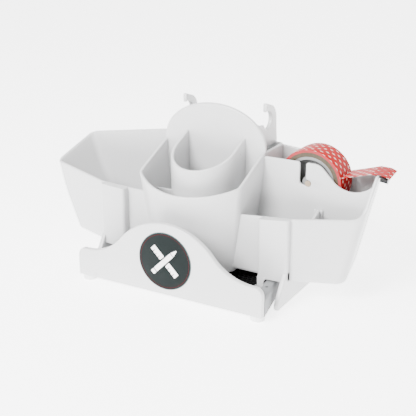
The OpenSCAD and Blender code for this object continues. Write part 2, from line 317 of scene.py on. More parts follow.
def gridFaces(rows, columns, closedRows=False, closedColumns=True):
    # the four-sided faces of a grid of points, wrapped round where it closes
    r, c = np.meshgrid(np.arange(rows - (not closedRows)), np.arange(columns - (not closedColumns)),
                       indexing="ij")
    r, c = r.ravel(), c.ravel()
    r2, c2 = (r + 1) % rows, (c + 1) % columns
    return np.stack([r * columns + c, r * columns + c2, r2 * columns + c2, r2 * columns + c], 1)


def loft(rows, capped=True, closedRows=False, closedColumns=True, uv=None):
    # rows of points joined one to the next; each row closes on itself, and flat caps shut the ends
    m, n = rows.shape[:2]
    caps = []
    if capped and not closedRows:
        caps = [np.arange(n)[::-1], np.arange(n) + (m - 1) * n]
    return {"points": rows.reshape(-1, 3), "quads": gridFaces(m, n, closedRows, closedColumns),
            "caps": caps, "uv": None if uv is None else uv.reshape(-1, 2)}


def rounded(corners, radii, steps=7):
    # closed outline whose corners become arcs: each arc's centre lies on the corner's
    # bisector at radius / sin(half the corner's angle)
    p = np.asarray(corners, float)
    r = np.broadcast_to(np.asarray(radii, float), (len(p),))[:, None, None]
    a, b = unit(np.roll(p, 1, 0) - p)[:, None], unit(np.roll(p, -1, 0) - p)[:, None]
    half = np.arccos(np.clip((a * b).sum(-1, keepdims=True), -0.99999, 0.99999)) / 2
    centre = p[:, None] + unit(a + b) * r / np.sin(half)
    v0, v1 = p[:, None] + a * r / np.tan(half) - centre, p[:, None] + b * r / np.tan(half) - centre
    w = np.pi - 2 * half
    t = np.linspace(0, 1, steps)[None, :, None]
    return ((np.sin((1 - t) * w) * v0 + np.sin(t * w) * v1) / np.sin(w) + centre).reshape(-1, 2)


def arc(centre, radius, start, end, count):
    # points on a circle, angles in degrees
    a = np.radians(np.linspace(start, end, count))
    return np.stack([centre[0] + radius * np.cos(a), centre[1] + radius * np.sin(a)], 1)


def tidyOutline(outline):
    # counter-clockwise, with points closer than a hundredth of a millimetre dropped
    p = np.asarray(outline, float)
    p = p[np.linalg.norm(p - np.roll(p, 1, 0), axis=1) > 0.01]
    x, y = p.T
    area = (x * np.roll(y, -1) - np.roll(x, -1) * y).sum()
    return p if area > 0 else p[::-1]


def inward(outline, d):
    # each point moved inwards so that both of its edges move by d
    e0, e1 = unit(outline - np.roll(outline, 1, 0)), unit(np.roll(outline, -1, 0) - outline)
    n0, n1 = np.stack([-e0[:, 1], e0[:, 0]], 1), np.stack([-e1[:, 1], e1[:, 0]], 1)
    return outline + d * (n0 + n1) / np.maximum(1 + (n0 * n1).sum(1, keepdims=True), 0.5)


def plate(outline, lo, hi, edge, plane="xz"):
    # a flat piece: the outline carried from lo to hi, its rims rounded as quarter circles
    # (inset edge * (1 - sin a), depth edge * (1 - cos a)). lo and hi may be functions of the
    # outline's points. A corner's radius has to be larger than edge, or the rim crosses itself
    p = tidyOutline(outline)
    a = np.radians(np.linspace(0, 90, 5))
    insets = edge * (1 - np.sin(a))
    depths = edge * (1 - np.cos(a))
    hi = hi(p) if callable(hi) else hi
    lo = lo(p) if callable(lo) else lo
    layers = [(inset, lo + depth) for inset, depth in zip(insets, depths)]
    layers += [(inset, hi - depth) for inset, depth in zip(insets[::-1], depths[::-1])]
    rows = []
    for inset, depth in layers:
        q = inward(p, inset)
        depth = np.broadcast_to(depth, (len(p),))
        u, v = q.T
        order = {"xz": (u, depth, v), "yz": (depth, u, v), "xy": (u, v, depth)}[plane]
        rows.append(np.stack(order, 1))
    return loft(np.array(rows))


def lathe(profile, centre, axis="y", steps=96):
    # profile points (radius, place along the axis) turned round the axis
    r, h = np.asarray(profile, float).T
    a = np.linspace(0, tau, steps, endpoint=False)[:, None]
    u, v, w = r * np.cos(a), r * np.sin(a), np.broadcast_to(h, (steps, len(h)))
    turnedPoints = (u, w, v) if axis == "y" else (u, v, w)
    return loft(np.stack(turnedPoints, -1) + centre, capped=False, closedRows=True)


def wallSection(base, rim, wall, fillet, corner, low=None, rows=9):
    # one closed section of a container's wall, as (height, inset) pairs: under the floor,
    # round the outer corner, up the outside, over a half-round rim and down the inside
    # to a fillet on the floor. Heights have one value for each place along the wall
    foot = wall + fillet
    top = rim - wall / 2
    inside = (base + wall if low is None else low)
    turn = np.radians(np.linspace(90, 0, 5))
    overRim = np.radians(np.linspace(0, 180, 9))[1:]
    toFloor = np.radians(np.linspace(0, 90, 6))[1:]
    climb = np.linspace(0, 1, rows)[1:]
    out = [(base, foot)] + [(base + corner * (1 - np.sin(t)), corner * (1 - np.cos(t))) for t in turn]
    out += [(base + corner + (top - base - corner) * f, 0.0) for f in climb]
    out += [(top + wall / 2 * np.sin(t), wall / 2 * (1 - np.cos(t))) for t in overRim]
    out += [(top + (inside + fillet - top) * f, wall) for f in climb]
    return out + [(inside + fillet * (1 - np.sin(t)), wall + fillet * (1 - np.cos(t))) for t in toFloor]


def container(planAt, rimAt, base, wall, fillet=2.0, corner=1.6, low=None, mirrored=False, rows=9):
    # a wall carried along an open plan. planAt(z, inset) gives the plan points for heights z,
    # and rimAt(points) the rim's height there
    z = np.full(len(planAt(60.0, 0.0)), 80.0)
    for _ in range(3):
        z = rimAt(planAt(z, 0.0))
    lowest = None if low is None else low(planAt(z, 0.0))
    section = []
    for height, inset in wallSection(base, z, wall, fillet, corner, lowest, rows):
        height = np.broadcast_to(height, z.shape)
        section.append(np.column_stack([planAt(height, inset), height]))
    grid = np.array(section).transpose(1, 0, 2)
    if mirrored:
        grid = grid * np.array([-1, 1, 1])
    return loft(grid)


def cornerPlan(corners, radii, perEdge=22, perArc=9):
    # an open plan from its corner points: corners(z, inset) -> places x corners x 2. The
    # corners between the two ends are rounded as in rounded()
    k = len(radii) + 2
    pieces = [(i, t) for i in range(2 * k - 3) for t in np.linspace(0, 1, perEdge if i % 2 == 0 else perArc)]
    segment = np.array([i for i, t in pieces])
    fraction = np.array([t for i, t in pieces])[:, None]
    keep = np.ones(len(segment), bool)
    keep[1:] = ~((fraction[1:, 0] == 0) & (segment[1:] != segment[:-1]))

    def planAt(z, inset):
        c = corners(np.broadcast_to(z, (keep.sum(),)) if np.ndim(z) == 0 else z, inset)
        a, b = unit(c[:, :-2] - c[:, 1:-1]), unit(c[:, 2:] - c[:, 1:-1])
        half = np.arccos(np.clip((a * b).sum(-1, keepdims=True), -0.99999, 0.99999)) / 2
        r = np.maximum(np.asarray(radii, float)[None, :, None] - inset, 0.5)
        centre = c[:, 1:-1] + unit(a + b) * r / np.sin(half)
        first, last = c[:, 1:-1] + a * r / np.tan(half), c[:, 1:-1] + b * r / np.tan(half)
        starts = np.concatenate([c[:, :1], last], 1)
        ends = np.concatenate([first, c[:, -1:]], 1)
        s, t = segment[keep], fraction[keep]
        n = np.arange(len(s))
        edge = np.minimum(s // 2, k - 2)
        straight = starts[n, edge] * (1 - t) + ends[n, edge] * t
        q = np.minimum(np.maximum(s - 1, 0) // 2, k - 3)
        w = np.pi - 2 * half[n, q]
        v0, v1 = first[n, q] - centre[n, q], last[n, q] - centre[n, q]
        bent = (np.sin((1 - t) * w) * v0 + np.sin(t * w) * v1) / np.maximum(np.sin(w), 1e-6) + centre[n, q]
        return np.where((s % 2 == 1)[:, None], bent, straight)

    planAt.segment, planAt.fraction = segment[keep], fraction[keep][:, 0]
    return planAt


def outwards(part):
    # turns a part's faces round if the volume inside them comes out negative
    p = part["points"]

    def fan(faces):
        a, rest = p[faces[:, 0]], faces[:, 1:]
        return sum(np.einsum("ij,ij->i", a, np.cross(p[rest[:, i]], p[rest[:, i + 1]])).sum()
                   for i in range(rest.shape[1] - 1))

    volume = fan(part["quads"]) + sum(fan(c[None]) for c in part["caps"])
    flip = -1 if volume < 0 else 1
    return [list(f[::flip]) for f in part["quads"].tolist()] + [list(c[::flip]) for c in part["caps"]]


def makePiece(name, parts, materials, body, nodes, sharp=35):
    # one mesh from several closed parts, in metres in the frame. parts holds either parts
    # or (part, material number) pairs
    parts = [p if isinstance(p, tuple) else (p, 0) for p in parts]
    points, polygons, numbers, uvs = [], [], [], []
    start = 0
    for part, number in parts:
        own = outwards(part)
        polygons += [[int(i) + start for i in f] for f in own]
        numbers += [number] * len(own)
        points.append(part["points"])
        uvs.append(part["uv"] if part["uv"] is not None else np.zeros((len(part["points"]), 2)))
        start += len(part["points"])
    mesh = bpy.data.meshes.new(name)
    mesh.from_pydata(placed(np.concatenate(points)).tolist(), [], polygons)
    for material in materials:
        mesh.materials.append(material)
    mesh.polygons.foreach_set("material_index", np.array(numbers, np.int32))
    if any(part["uv"] is not None for part, number in parts):
        layer = mesh.uv_layers.new(name="along")
        corners = np.empty(len(mesh.loops), np.int32)
        mesh.loops.foreach_get("vertex_index", corners)
        layer.data.foreach_set("uv", np.concatenate(uvs)[corners].astype(np.float32).ravel())
    work = bmesh.new()
    work.from_mesh(mesh)
    bmesh.ops.remove_doubles(work, verts=work.verts, dist=1e-6)
    bmesh.ops.dissolve_degenerate(work, edges=work.edges, dist=1e-7)
    work.to_mesh(mesh)
    work.free()
    mesh.polygons.foreach_set("use_smooth", np.ones(len(mesh.polygons), bool))
    mesh.set_sharp_from_angle(angle=math.radians(sharp))
    item = bpy.data.objects.new(name, mesh)
    pieceGroup.objects.link(item)
    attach(item, body)
    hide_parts(*nodes)
    return item


def finishNode(name, material):
    # a CAD node that keeps its own shape and takes a finish
    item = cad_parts[name]
    item.data.materials.clear()
    item.data.materials.append(material)


def mirror(part):
    part = dict(part)
    part["points"] = part["points"] * np.array([-1, 1, 1])
    return part


base = {"half": 89.0, "endHeight": 25.5, "crest": 58.0, "crestCentre": 5.0, "valley": 46.0,
        "corner": 7.0, "front": 0.5, "thick": 5.0, "lift": 5.0, "edge": 1.3,
        "foot": {"radius": 6.0, "height": 5.0, "at": ((82, 7.5), (66, 97))}}


def crestOutline(b):
    # half of the crest plate's top: crest arc, hollow valley arc, then the rounded end
    drop = b["endHeight"] - b["crestCentre"]
    far = math.sqrt((b["crest"] + b["valley"]) ** 2 - (drop + b["valley"]) ** 2)
    lean = math.degrees(math.atan2(drop + b["valley"], far))
    valley = arc((far, b["endHeight"] + b["valley"]), b["valley"], 180 + lean, 270, 20)
    crest = arc((0, b["crestCentre"]), b["crest"], 90, lean, 28)
    end = arc((b["half"] - b["corner"], b["endHeight"] - b["corner"]), b["corner"], 90, 0, 10)
    low = arc((b["half"] - 1.5, 1.5), 1.5, 0, -90, 5)
    half = np.concatenate([crest, valley, end, low])
    whole = np.concatenate([half, (half * np.array([-1, 1]))[::-1]])
    return whole + np.array([0, b["lift"]])


crestPlate = plate(crestOutline(base), base["front"], base["front"] + base["thick"], base["edge"])
makePiece("crest_plate", [crestPlate],
          [whitePlastic], "base", ["front_plate"])


def footPart(x, y, f):
    # a turned foot: flat underside, rounded lower edge, straight up to the plate
    r, h = f["radius"], f["height"]
    profile = np.concatenate([[[0, 0]], arc((r - 1.2, 1.2), 1.2, -90, 0, 6),
                              [[r, h - 0.2], [r - 0.4, h], [0, h]]])
    return lathe(profile, (x, y, 0), "z", 48)


makePiece("round_feet",
          [footPart(s * x, y, base["foot"]) for x, y in base["foot"]["at"] for s in (-1, 1)],
          [finish["foot rubber"]], "base", ["feet"])

badge = {"height": 35.7, "depth": 2.0, "raise": 0.28, "face": 24.3, "rim": (25.0, 24.2), "red": (23.5, 22.9)}


def badgeRing(outer, inner, front, back):
    # a flat ring with small rounded shoulders
    profile = [(inner, back), (inner, front + 0.12), (inner + 0.12, front), (outer - 0.25, front),
               (outer, front + 0.25), (outer, back)]
    return lathe(profile, (0, 0, badge["height"]), "y", 128)


def badgeDisc(radius, front, back):
    # a flat disc with a small shoulder
    profile = [(0, front), (radius - 0.2, front), (radius, front + 0.1), (radius, back), (0, back)]
    return lathe(profile, (0, 0, badge["height"]), "y", 128)


def turned(outline, degrees):
    # an outline turned about the badge's middle
    a = math.radians(degrees)
    turn = np.array([[math.cos(a), math.sin(a)], [-math.sin(a), math.cos(a)]])
    return np.asarray(outline, float) @ turn + [0, badge["height"]]


def emblem(b):
    # a pencil crossed over a ruler with notched graduations
    lift = b["raise"]
    notches = []
    for i in range(9):
        left, deep = -13.2 + i * 3.2, 1.2 if i % 2 else 0.4
        notches += [(left, 2.6), (left, deep), (left + 0.7, deep), (left + 0.7, 2.6)]
    ruler = [(-16, -2.6), (16, -2.6), (16, 2.6)] + notches[::-1] + [(-16, 2.6)]
    body = [(-12.5, -2.1), (9.5, -2.1), (9.5, 2.1), (-12.5, 2.1)]
    point = [(10.3, -2.0), (16.2, -0.45), (16.2, 0.45), (10.3, 2.0)]
    cap = [(-16.8, -2.1), (-13.3, -2.1), (-13.3, 2.1), (-16.8, 2.1)]
    gap = [(-18.2, -3.3), (10.2, -3.3), (18.6, -1.2), (18.6, 1.2), (10.2, 3.3), (-18.2, 3.3)]
    # each shape is raised a little more than the one it lies on
    made = [(plate(turned(ruler, 135), -lift * 0.5, 0.2, 0.08), 1),
            (plate(turned(rounded(gap, 0.8, 4), 45), -lift * 0.55, 0.2, 0.02), 0)]
    for shape, radius in ((body, 0.4), (point, 0.2), (cap, 0.6)):
        made.append((plate(turned(rounded(shape, radius, 4), 45), -lift, 0.2, 0.08), 1))
    return made


makePiece("badge_face", [(badgeDisc(badge["face"], 0.05, badge["depth"]), 0)] + emblem(badge),
          [finish["badge charcoal"], finish["badge ink"]], "base", ["badge_disc"])
makePiece("badge_rim",
          [(badgeRing(*badge["rim"], 0.0, badge["depth"]), 0), (badgeRing(*badge["red"], 0.02, 0.3), 1)],
          [finish["badge edge"], finish["badge red"]], "base", ["badge_ring"])
for name, material in (("left_rail", finish["frosted rail"]), ("right_rail", finish["frosted rail"]),
                       ("base_floor", finish["base pan"]), ("back_plate", whitePlastic),
                       ("ribbed_mat", finish["mat rubber"]), ("rail_screws", screwSteel)):
    finishNode(name, material)
print("base ready")

tray = {"wall": 2.6, "floor": 20.6, "front": 45.0, "sweepFrom": 94.3, "sweep": 0.35, "toeIn": 0.2,
        "back": 120.0, "cupBottom": 17.0, "cupHalf": 49.3, "bow": 66.0, "cupCorner": 8.0,
        "domeFront": 82.0, "cupNarrow": 0.8, "cupStraight": 98.0, "rimRise": 0.44, "cupRim": 78.9}


def cupScale(z):
    # the cup's plan grows evenly from its bottom up to where its walls turn upright
    t = tray
    climbed = (1 - t["cupNarrow"]) * (z - t["cupBottom"]) / (t["cupStraight"] - t["cupBottom"])
    return np.minimum(1.0, t["cupNarrow"] + climbed)


def cupPlan(z, inset):
    # bowed front arc between two corner arcs, with straight sides back into the dome plate,
    # all scaled about the dome's front face
    t = tray
    r = t["cupCorner"] - inset
    cx = t["cupHalf"] - t["cupCorner"]
    cy = t["domeFront"] - math.sqrt((t["bow"] - t["cupCorner"]) ** 2 - cx * cx)
    meet = math.degrees(math.atan2(cy - t["domeFront"], cx))
    side = np.column_stack([np.full(12, cx + r), np.linspace(t["domeFront"] + 1.8, cy, 12)])
    right = np.concatenate([side[:-1], arc((cx, cy), r, 0, meet, 12)[:-1],
                            arc((0, t["domeFront"]), t["bow"] - inset, meet, -90, 26)])
    plan = np.concatenate([right, (right * np.array([-1, 1]))[-2::-1]])
    scale = np.broadcast_to(cupScale(np.asarray(z, float)), (len(plan),))[:, None]
    return (plan - [0, t["domeFront"]]) * scale + [0, t["domeFront"]]


def slopingRim(start):
    return lambda p: start + tray["rimRise"] * p[:, 1]


def floorPart(plan, z0, z1, extra=()):
    # a container's floor: the plan closed, with any extra corner points
    outline = np.concatenate([plan, np.asarray(extra, float).reshape(-1, 2)])
    return plate(outline, z0 + 0.03, z1 - 0.03, 0.2, "xy")


def outerCup():
    t = tray
    walls = container(cupPlan, slopingRim(t["cupRim"]), t["cupBottom"], t["wall"], 3.0, 2.0)
    return [walls, floorPart(cupPlan(18.0, 5.0), t["cupBottom"], t["cupBottom"] + t["wall"])]


makePiece("outer_cup", outerCup(), [whitePlastic], "tray", ["centre_cup"], 50)

inner = {"x": 1.5, "y": 64.6, "radius": 29.1, "rim": 88.7, "pit": 55.0, "scoopRadius": 57.0,
         "scoopY": 38.0, "foot": 19.2, "sheet": 2.0, "tuck": 1.3}


def innerPlan(z, inset):
    # half circle in front, straight sides back into the dome plate
    c = inner
    r = c["radius"] - inset
    side = np.column_stack([np.full(14, c["x"] + r), np.linspace(tray["domeFront"] + 1.8, c["y"], 14)])
    bow = arc((c["x"], c["y"]), r, 0, -180, 56)
    other = np.column_stack([np.full(14, c["x"] - r), np.linspace(c["y"], tray["domeFront"] + 1.8, 14)])
    return np.concatenate([side[:-1], bow, other[1:]])


def scoopHeight(y):
    # level in front, then a quarter circle up towards the dome
    c = inner
    run = np.clip(y - c["scoopY"], 0, c["scoopRadius"] - 1)
    return c["pit"] + c["scoopRadius"] - np.sqrt(c["scoopRadius"] ** 2 - run ** 2)


def scoopPart():
    # a sheet under the scoop: y runs back and s runs across between the walls
    c = inner
    y = np.linspace(c["y"] - c["radius"] + 1.4, tray["domeFront"] + 1.8, 40)[:, None]
    reach = c["radius"] - c["tuck"]
    half = np.where(y < c["y"], np.sqrt(np.maximum(reach ** 2 - (y - c["y"]) ** 2, 0.2)), reach)
    s = np.linspace(-1, 1, 25)[None]
    x = c["x"] + half * s
    top = scoopHeight(y) + 1.05 * np.maximum(np.abs(s) - 0.8, 0)   # a slight rise at the walls
    yy = np.broadcast_to(y, x.shape)
    upper, under = np.stack([x, yy, top], -1), np.stack([x, yy, top - c["sheet"]], -1)
    return loft(np.concatenate([upper, under[:, ::-1]], 1))


innerWalls = container(innerPlan, slopingRim(inner["rim"]), inner["foot"], tray["wall"], 1.2, 0.6,
                       low=lambda p: scoopHeight(p[:, 1]) - 1.5)
makePiece("inner_cup_shell", [innerWalls, scoopPart()], [whitePlastic], "tray", ["inner_cup"],
          50)

cupWeb = {"corners": [(-37.8, 19.3), (-45.4, 75.6), (-24, 75.6), (-24, 19.3)], "y": (59, 60.8),
          "corner": 0.8, "edge": 0.7}
makePiece("cup_web_wall",
          [plate(rounded(cupWeb["corners"], cupWeb["corner"], 4), *cupWeb["y"], cupWeb["edge"])],
          [whitePlastic], "tray", ["cup_web"])

dome = {"half": 49.3, "spring": 117.0, "rise": 34.0, "thick": 4.0, "edge": 1.9}


def domeOutline(d):
    # straight sides up to half an ellipse
    a = np.radians(np.linspace(0, 180, 73))
    arch = np.column_stack([d["half"] * np.cos(a), d["spring"] + d["rise"] * np.sin(a)])
    foot = np.array([[d["half"], tray["cupBottom"]], [d["half"], 60]])
    return np.concatenate([foot, arch, (foot * [-1, 1])[::-1]])


domePlate = plate(domeOutline(dome), tray["domeFront"], tray["domeFront"] + dome["thick"], dome["edge"])
makePiece("domed_back", [domePlate], [whitePlastic], "tray", ["dome_back"])

pocket = {"rim": 114.5, "corner": 4.0}


def pocketCorners(z, inset):
    # an upright three-sided plan behind the dome plate
    t = tray
    x, y = t["cupHalf"] - inset, t["back"] - inset
    one = np.ones(len(z))
    pts = [(x, t["domeFront"] + 2), (x, y), (-x, y), (-x, t["domeFront"] + 2)]
    return np.stack([np.stack([one * a, one * b], -1) for a, b in pts], 1)


pocketPlan = cornerPlan(pocketCorners, [pocket["corner"]] * 2, 12)
pocketWalls = container(pocketPlan, lambda p: np.full(len(p), pocket["rim"]), tray["floor"], tray["wall"])
pocketFloor = floorPart(pocketPlan(21.0, 4.0), tray["floor"], tray["floor"] + tray["wall"])
makePiece("back_pocket", [pocketWalls, pocketFloor], [whitePlastic], "tray", ["rear_pocket"],
          50)

hook = {"inner": 37.5, "thick": 4.0, "edge": 1.2, "bowl": ((102.5, 137.0), 7.7),
        "curl": ((105.5, 135.5), 14.2), "lip": ((101.1, 150.1), 1.5)}


def hookOutline(h):
    # the cheek's back edge, over the curl to the lip, round the bowl and down the front slope
    y0 = tray["domeFront"] + dome["thick"] - 1
    outer = arc(*h["curl"], 0, 62, 14)
    lip = arc(*h["lip"], 75, 180, 8)
    bowl = arc(*h["bowl"], 112, -157, 34)
    back = [(y0, 113.2), (117.8, 113.2), (117.8, 103), (120.6, 105.5), (121.6, 110), (121.9, 115),
            (120.4, 125)]
    return np.concatenate([back, outer, lip, bowl, [(92.4, 133.8), (y0, 136.6)]])


for side, sign in (("left", -1), ("right", 1)):
    lo = hook["inner"] if sign > 0 else -hook["inner"] - hook["thick"]
    cheek = plate(hookOutline(hook), lo, lo + hook["thick"], hook["edge"], "yz")
    makePiece(side + "_hook_cheek", [cheek],
              [whitePlastic], "tray", [side + "_hook"])
print("cups and back ready")

# rim heights: along the front and back by distance from the middle, along the end by depth
bins = {
    "right": {"radii": (5.0, 9.0, 9.0),
              "front": ((36, 71), (50, 71), (94.3, 75), (136, 77.5), (147, 80)),
              "end": ((57, 78.5), (62, 80), (66, 84), (80, 109), (82.5, 110), (85, 108.4), (116, 107.9),
                      (120, 107.9)),
              "back": ((46, 113), (50, 113), (73, 111), (88, 110.2), (94, 107), (101, 101.5), (110, 99),
                       (124, 99), (133, 101.5), (139, 106.5), (142, 107.9), (160, 107.9))},
    "left": {"radii": (5.0, 6.0, 9.0),
             "front": ((36, 75.5), (60, 75.5), (160, 80)),
             "end": ((57, 79), (68, 80), (116, 96), (120, 96.5)),
             "back": ((46, 113), (50, 113), (73, 111), (158, 97.5))},
}


# the end walls' lines: reach at floor height and lean. The left wall blends two of them
endWalls = {"y": 57, "right": (134, 0.23), "leftLow": (133, 0.67), "leftHigh": (143.9, 0.36),
            "blend": 3, "leftLean": 0.5}


def endPlane(side, z):
    # where the end wall crosses its reference depth. The right one is a plane; the left one
    # bends smoothly from a strong lean to a slight one: the lower of two lines, blended
    w = endWalls
    dz = z - tray["floor"]
    if side == "right":
        return w["right"][0] + w["right"][1] * dz, w["right"][1]
    a, b = (w[k][0] + w[k][1] * dz for k in ("leftLow", "leftHigh"))
    return (a + b) / 2 - np.sqrt((a - b) ** 2 + w["blend"] ** 2) / 2 + 0.4, w["leftLean"]


cupJoin = {"corner": (41.3, 40.2), "tuck": 0.7}


def joinX(z):
    # where the cup's outer face crosses the bins' front wall, a little inside it
    t, j = tray, cupJoin
    k = cupScale(z)
    cx, cy, r = j["corner"][0] * k, t["domeFront"] - j["corner"][1] * k, t["cupCorner"] * k
    onCorner = cx + np.sqrt(np.maximum(r * r - (cy - t["front"]) ** 2, 0))
    return np.where(cy < t["front"], t["cupHalf"] * k, onCorner) - j["tuck"]


def binCorners(side):
    # the five corners of a bin's plan at a height: beside the cup, where the front starts to
    # sweep back, the front and back ends of the end wall, and beside the rear pocket
    def corners(z, inset):
        t = tray
        slope = math.sqrt(1 + t["sweep"] ** 2)
        reach, lean = endPlane(side, z)
        reach = reach - inset * math.sqrt(1 + lean ** 2 + t["toeIn"] ** 2) + t["toeIn"] * endWalls["y"]
        one = np.ones(len(z))
        a = np.stack([joinX(z), one * (t["front"] + inset)], -1)
        bend = t["sweepFrom"] - inset * (slope - 1) / t["sweep"]
        b = np.stack([one * bend, one * (t["front"] + inset)], -1)
        swept = t["front"] + inset * slope + t["sweep"] * (reach - t["sweepFrom"])
        y = swept / (1 + t["sweep"] * t["toeIn"])
        c = np.stack([reach - t["toeIn"] * y, y], -1)
        d = np.stack([reach - t["toeIn"] * (t["back"] - inset), one * (t["back"] - inset)], -1)
        e = np.stack([one * (t["cupHalf"] - 1.2), one * (t["back"] - inset)], -1)
        return np.stack([a, b, c, d, e], 1)
    return corners


def binRim(side, plan):
    # the rim's height along each wall, eased with 3t^2 - 2t^3 round the corners of the end wall
    b = bins[side]

    def heights(p):
        front = np.interp(p[:, 0], *np.array(b["front"]).T)
        end = np.interp(p[:, 1], *np.array(b["end"]).T)
        back = np.interp(p[:, 0], *np.array(b["back"]).T)
        s, t = plan.segment, plan.fraction
        ease = t * t * (3 - 2 * t)
        out = np.where(s <= 2, front, np.where(s == 4, end, back))
        out = np.where(s == 3, front * (1 - ease) + end * ease, out)
        return np.where(s == 5, end * (1 - ease) + back * ease, out)
    return heights


def binParts(side):
    plan = cornerPlan(binCorners(side), bins[side]["radii"], 34, 12)
    flip = np.array([-1 if side == "left" else 1, 1])
    walls = container(plan, binRim(side, plan), tray["floor"], tray["wall"], 3.5, 3.0,
                      mirrored=side == "left", rows=14)
    outline = plan(tray["floor"] + 0.6, 5.6)
    besideCup = np.array([(48.1, 84), (38.9, 83.5)])
    floor = floorPart(outline * flip, tray["floor"], tray["floor"] + tray["wall"], besideCup * flip)
    return [walls, floor]


seatPad = {"x": 78.0, "at": (48, 78), "width": 8.0, "depth": 16.0, "z": (20.0, 21.2)}


def seatPads(g, sign):
    # the pads under a bin that rest on its rail
    made = []
    for y in g["at"]:
        x = g["x"] - tray["toeIn"] * y
        x1, y1 = x + g["width"], y + g["depth"]
        corners = np.array([(x, y), (x1, y), (x1, y1), (x, y1)])
        made.append(plate(rounded(corners * [sign, 1], 1.0, 4), *g["z"], 0.2, "xy"))
    return made


makePiece("left_bin_shell", binParts("left") + seatPads(seatPad, -1), [whitePlastic], "tray", ["left_bin"],
          50)

slot = {"x": 84.65, "half": 2.65, "shoulder": 2.2, "bendAbove": 1.4, "bendRound": 1.6}


def slotOutline(top):
    # the J slot read down its left side, round the foot where the spindle rests and up again,
    # with rounded shoulders at its mouth
    s, h = slot, slot["half"]
    bend = np.array([s["x"], roll["z"] + s["bendAbove"]])
    seat = np.array([roll["x"], roll["z"]])
    fall = math.degrees(math.atan2(seat[1] - bend[1], seat[0] - bend[0]))
    k = s["shoulder"]
    left = arc((s["x"] - h - k, top - k), k, 90, 0, 7)
    right = arc((s["x"] + h + k, top - k), k, 180, 90, 7)
    low = arc(bend, h, 180, 270 + fall, 9)
    foot = arc(seat, h, fall - 90, fall + 90, 18)
    a = math.radians(fall)
    normal = np.array([-math.sin(a), math.cos(a)])
    x = s["x"] + h + s["bendRound"]
    z = (bend @ normal + h + s["bendRound"] - x * normal[0]) / normal[1]
    inside = arc((x, z), s["bendRound"], 270 + fall, 180, 8)
    return np.concatenate([left, low, foot, inside, right])


tapeWall = {"y": (80.0, 82.6), "top": 112.0, "shoulder": ((94, 99), 13.0), "horn": ((127.5, 117.1), 24.0),
            "tuck": 1.4, "edge": 1.1}


def tapeWallOutline(w):
    # up beside the cup, over the slot and its shoulder, along the hollow to the horn and down
    # inside the sloping end wall
    k = cupScale(np.array([23.0, 60.0, 98.0, 111.0]))
    left = np.column_stack([tray["cupHalf"] * k - w["tuck"], [22.4, 60.0, 98.0, 110.6]])
    z = np.array([100.0, 60.0, 22.4])
    right = np.column_stack([endPlane("right", z)[0] - 4.6 - w["tuck"], z])
    top = np.concatenate([[(51, w["top"])], slotOutline(w["top"]), arc(*w["shoulder"], 88, 52, 8)[1:],
                          arc(*w["horn"], 234, 324, 34)])
    return np.concatenate([left, top, right])


makePiece("tape_front_wall", [plate(tapeWallOutline(tapeWall), *tapeWall["y"], tapeWall["edge"])],
          [whitePlastic], "tray", ["tape_wall"])


def cutThrough(item, part):
    # takes a closed part out of a piece and keeps the result as the piece's mesh
    mesh = bpy.data.meshes.new("cutter")
    mesh.from_pydata(placed(part["points"]).tolist(), [], outwards(part))
    cutter = bpy.data.objects.new("cutter", mesh)
    stageGroup.objects.link(cutter)
    change = item.modifiers.new("cut", "BOOLEAN")
    change.object, change.solver, change.use_self = cutter, "EXACT", True
    result = item.evaluated_get(bpy.context.evaluated_depsgraph_get())
    item.data = bpy.data.meshes.new_from_object(result)
    item.modifiers.clear()
    bpy.data.objects.remove(cutter)


rightBin = makePiece("right_bin_shell", binParts("right") + seatPads(seatPad, 1), [whitePlastic], "tray",
                     ["right_bin"], 50)
cutThrough(rightBin, plate(slotOutline(tapeWall["top"]), 115.0, 122.0, 0.01))   # the rear slot

leg = {"inner": 65.5, "outer": 91.5, "front": 37.5, "splay": 2.0, "back": 46.5, "notch": 21.0, "fin": 4.0,
       "toe": (27.5, 4.8), "toeRadius": 3.0, "returnFrom": 8.5}


def legParts(g, side):
    # a channel in front of the bin, the fin outside the rail and the short returns inside it
    w = tray["wall"]
    rim = np.array(bins[side]["front"]).T
    x0, x1, y0, y1, back = g["inner"], g["outer"], g["front"], g["front"] + g["splay"], g["back"]

    def rimAt(p, above):
        return np.interp(p[:, 0], *rim) + above

    channel = rounded([(x0, back), (x0, y0), (x1, y1), (x1, back), (x1 - w, back), (x1 - w, y1 + w),
                       (x0 + w, y0 + w + 0.2), (x0 + w, back)],
                      [0.8, 2.6, 2.6, 0.8, 0.8, 1.0, 1.0, 0.8], 6)
    lid = rounded([(x0 + 0.6, y0 + 0.8), (x1 - 0.6, y1 + 0.8), (x1 - 0.6, back), (x0 + 0.6, back)],
                  [1.6, 1.6, 0.7, 0.7], 5)
    ty, tz = g["toe"]
    front, under = ty - g["toeRadius"], tz - g["toeRadius"]
    fin = rounded([(y0 + 2.4, 30), (front, tz + 3.0), (front, under), (94, under), (103, 21.6), (46.4, 21.6),
                   (46.4, 30)], [3, 5, 2.2, 3, 1.1, 1.1, 1.1], 7)
    low = g["returnFrom"]
    stub = rounded([(y0 + 0.6, low), (54.5, low), (54.5, 22), (y0 + 0.6, 22)], 0.8, 4)
    lip = rounded([(x0, low), (x0 + 6.2, low), (x0 + 6.2, 19), (x0 + 9.5, 23), (x0, 23)],
                  [0.8, 0.8, 2, 0.8, 0.8], 5)
    parts = [plate(channel, g["notch"], lambda p: rimAt(p, 0.1), 0.7, "xy"),
             plate(lid, lambda p: rimAt(p, -2.2), lambda p: rimAt(p, -0.1), 0.5, "xy"),
             plate(fin, x1 - g["fin"], x1, 1.0, "yz"),
             plate(stub, x0, x0 + w, 0.6, "yz"),
             plate(lip, y0 + 0.4, y0 + 0.4 + w, 0.6)]
    return [mirror(p) for p in parts] if side == "left" else parts


for side in ("left", "right"):
    makePiece(side + "_leg_fin", legParts(leg, side), [whitePlastic], "tray", [side + "_leg"])


